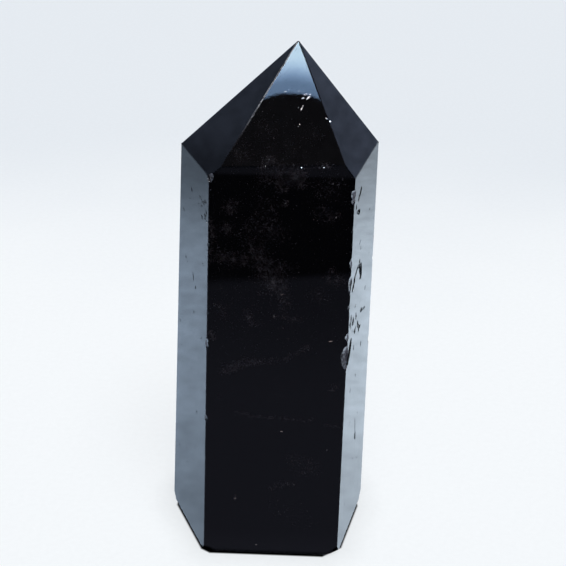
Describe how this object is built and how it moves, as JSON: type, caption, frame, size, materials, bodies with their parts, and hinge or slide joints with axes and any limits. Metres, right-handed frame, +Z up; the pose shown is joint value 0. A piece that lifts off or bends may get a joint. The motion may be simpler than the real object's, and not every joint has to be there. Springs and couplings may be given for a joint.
{
  "type": "polished morion quartz crystal point",
  "caption": "Black polished quartz crystal: a slightly tapered hexagonal tower with a six-sided pyramid point, standing on a flat polished base, with worn corners and chipped edges.",
  "frame": {"origin": "centre of the crystal's bounding box, on the surface that it stands on", "axes": "+Z up along the crystal, from the flat base to the point; the broad front facet looks along -Y; +X to its right as seen from the front"},
  "size_m": [0.0368, 0.0314, 0.0948],
  "materials": {
    "morion_quartz": "black quartz, ground flat and polished to a mirror, with faint smoky veils and small chips on its edges"
  },
  "bodies": {
    "root": {"morion_crystal": "morion_quartz"}
  },
  "joints": []
}
